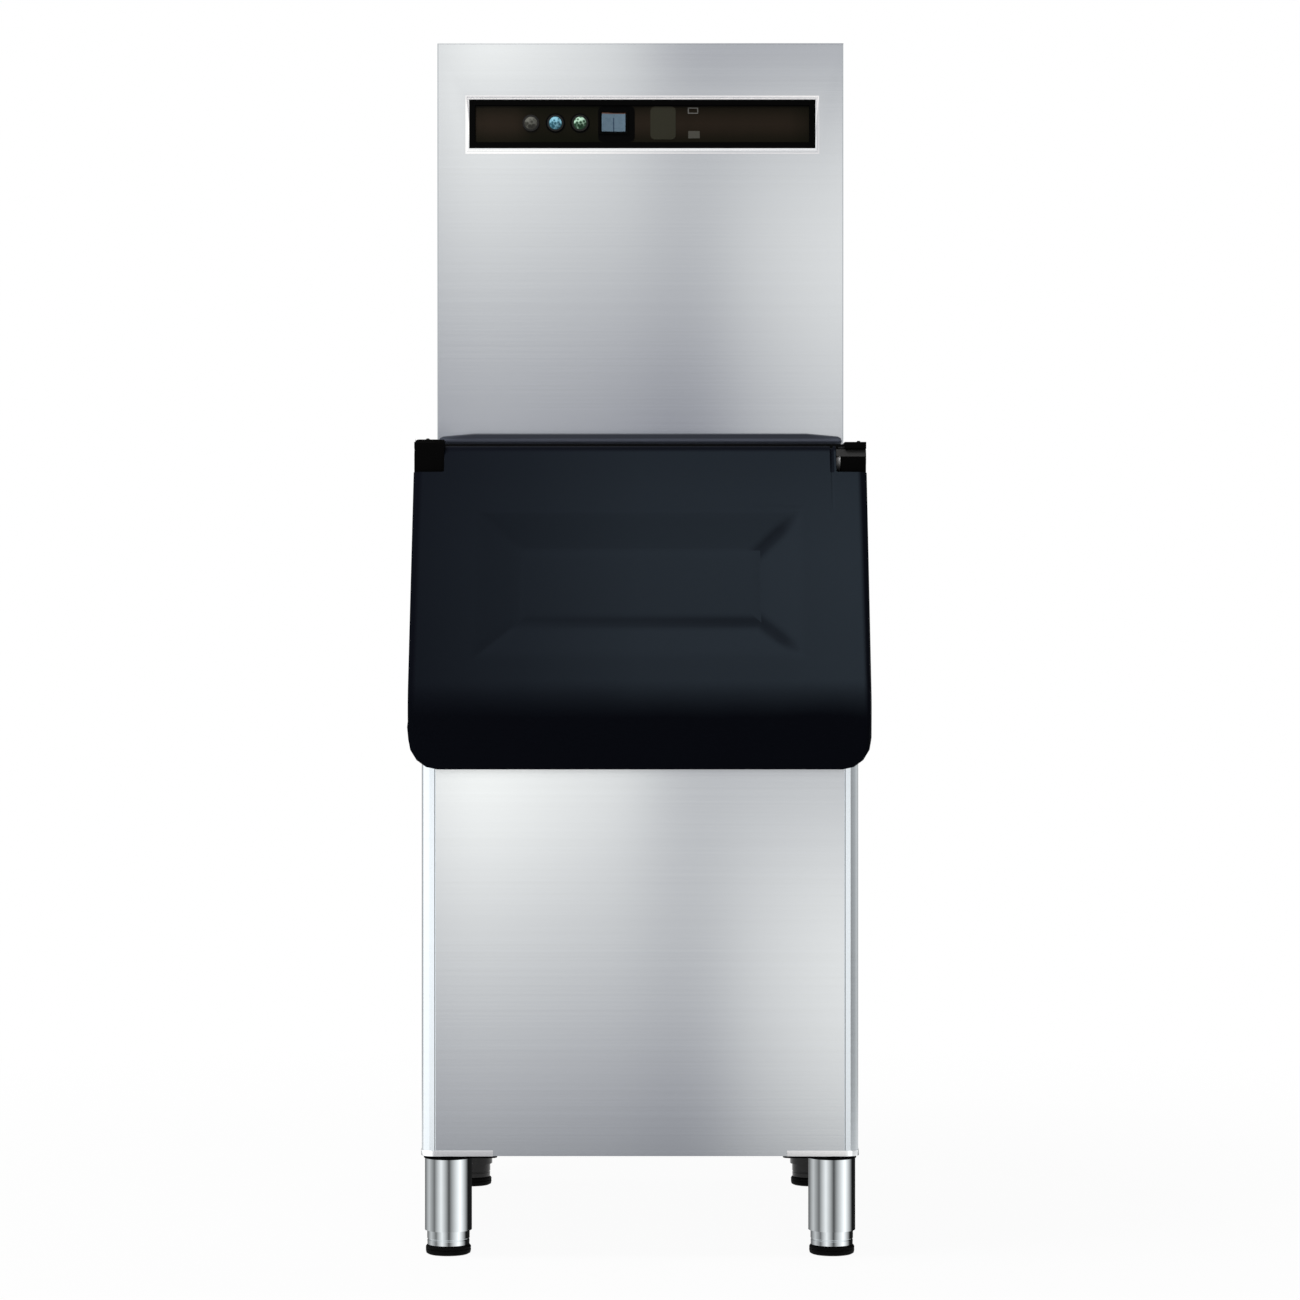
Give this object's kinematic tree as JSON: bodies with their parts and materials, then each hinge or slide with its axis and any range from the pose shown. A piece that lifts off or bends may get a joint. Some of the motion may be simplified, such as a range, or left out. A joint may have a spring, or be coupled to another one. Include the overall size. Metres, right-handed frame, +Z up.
{
  "type": "commercial ice maker",
  "caption": "Upright commercial ice maker: a square stainless ice-making head on an insulated bin with a sloping black lift-up lid, a dark control window and tubular levelling legs.",
  "frame": {"origin": "on the floor, under the centre of the whole machine's footprint", "axes": "+Z up, the control window and the lid face -Y, +X to the right of someone facing the front"},
  "size_m": [0.62, 0.855, 1.6608],
  "materials": {
    "stainless": "brushed stainless sheet, grain across",
    "chrome": "polished",
    "galvanised": "dull galvanised sheet",
    "black_moulding": "satin black moulding",
    "black_rubber": "matt",
    "black_enamel": "satin black enamel",
    "white_liner": "moulded white plastic",
    "insulating_foam": "poured foam",
    "smoked_lens": "smoked, glossy",
    "copper": "copper line",
    "fin_aluminium": "plain",
    "blue_lens": "blue lens",
    "green_lens": "green lens",
    "grey_lens": "grey lens",
    "pale_blue_key": "pale blue, lit",
    "grey_moulding": "grey",
    "green_board": "circuit board",
    "brass": "plain"
  },
  "bodies": {
    "machine": {"bin_back_panel": "galvanised", "bin_base": "galvanised", "bin_drain": "grey_moulding", "bin_front_panel": "stainless", "bin_header_trim": "black_moulding", "bin_insulation": "insulating_foam", "bin_left_side_panel": "stainless", "bin_liner": "white_liner", "bin_mouth_trim": "black_moulding", "bin_right_side_panel": "stainless", "bin_top_deck": "stainless", "compressor": "black_enamel", "condenser_coil": "fin_aluminium", "control_bezel": "black_moulding", "control_board": "green_board", "control_lens": "smoked_lens", "discharge_line": "copper", "electrical_box": "grey_moulding", "evaporator_coil": "copper", "evaporator_plate": "stainless", "fan_motor": "black_enamel", "fan_shroud": "galvanised", "feed_line": "copper", "filter_drier": "copper", "head_back_panel": "galvanised", "head_base_pan": "stainless", "head_front_panel": "stainless", "head_left_side_panel": "stainless", "head_right_side_panel": "stainless", "head_top_panel": "stainless", "hinge_bracket_left": "black_moulding", "hinge_bracket_right": "black_moulding", "hinge_pin_left": "chrome", "hinge_pin_right": "chrome", "inlet_valve": "brass", "lamp_blue": "blue_lens", "lamp_green": "green_lens", "lamp_grey": "grey_lens", "leg_front_left": "chrome", "leg_front_right": "chrome", "leg_rear_left": "black_enamel", "leg_rear_right": "black_enamel", "liquid_line": "copper", "partition_panel": "galvanised", "power_gland": "black_moulding", "rocker_housing": "black_moulding", "suction_line": "copper", "water_distributor": "white_liner", "water_pump": "black_enamel", "water_trough": "white_liner"},
    "lid": {"lid_shell": "black_moulding", "lid_liner": "white_liner", "lid_insulation": "insulating_foam"},
    "rocker": {"rocker_key": "pale_blue_key"},
    "fan": {"fan_rotor": "fin_aluminium"},
    "curtain": {"water_curtain": "white_liner"},
    "foot_front_left": {"foot_front_left": "black_rubber"},
    "foot_front_right": {"foot_front_right": "black_rubber"},
    "foot_rear_left": {"foot_rear_left": "black_rubber"},
    "foot_rear_right": {"foot_rear_right": "black_rubber"}
  },
  "joints": [
    {"name": "lid_hinge", "type": "hinge", "parent": "machine", "child": "lid", "pos_m": [0, -0.22408, 1.07777], "axis": [-1, 0, 0], "range_deg": [0, 156]},
    {"name": "rocker_tilt", "type": "hinge", "parent": "machine", "child": "rocker", "pos_m": [-0.0376, -0.1495, 1.5513], "axis": [0, 0, -1], "range_deg": [0, 12]},
    {"name": "fan_spin", "type": "hinge", "parent": "machine", "child": "fan", "pos_m": [-0.1517, 0.3282, 1.2506], "axis": [0, 1, 0], "continuous": true},
    {"name": "curtain_swing", "type": "hinge", "parent": "machine", "child": "curtain", "pos_m": [0.11205, 0.1145, 1.5078], "axis": [-1, 0, 0], "range_deg": [0, 30]},
    {"name": "foot_front_left_level", "type": "slide", "parent": "machine", "child": "foot_front_left", "axis": [0, 0, -1], "range_m": [0, 0.025]},
    {"name": "foot_front_right_level", "type": "slide", "parent": "machine", "child": "foot_front_right", "axis": [0, 0, -1], "range_m": [0, 0.025]},
    {"name": "foot_rear_left_level", "type": "slide", "parent": "machine", "child": "foot_rear_left", "axis": [0, 0, -1], "range_m": [0, 0.025]},
    {"name": "foot_rear_right_level", "type": "slide", "parent": "machine", "child": "foot_rear_right", "axis": [0, 0, -1], "range_m": [0, 0.025]}
  ]
}
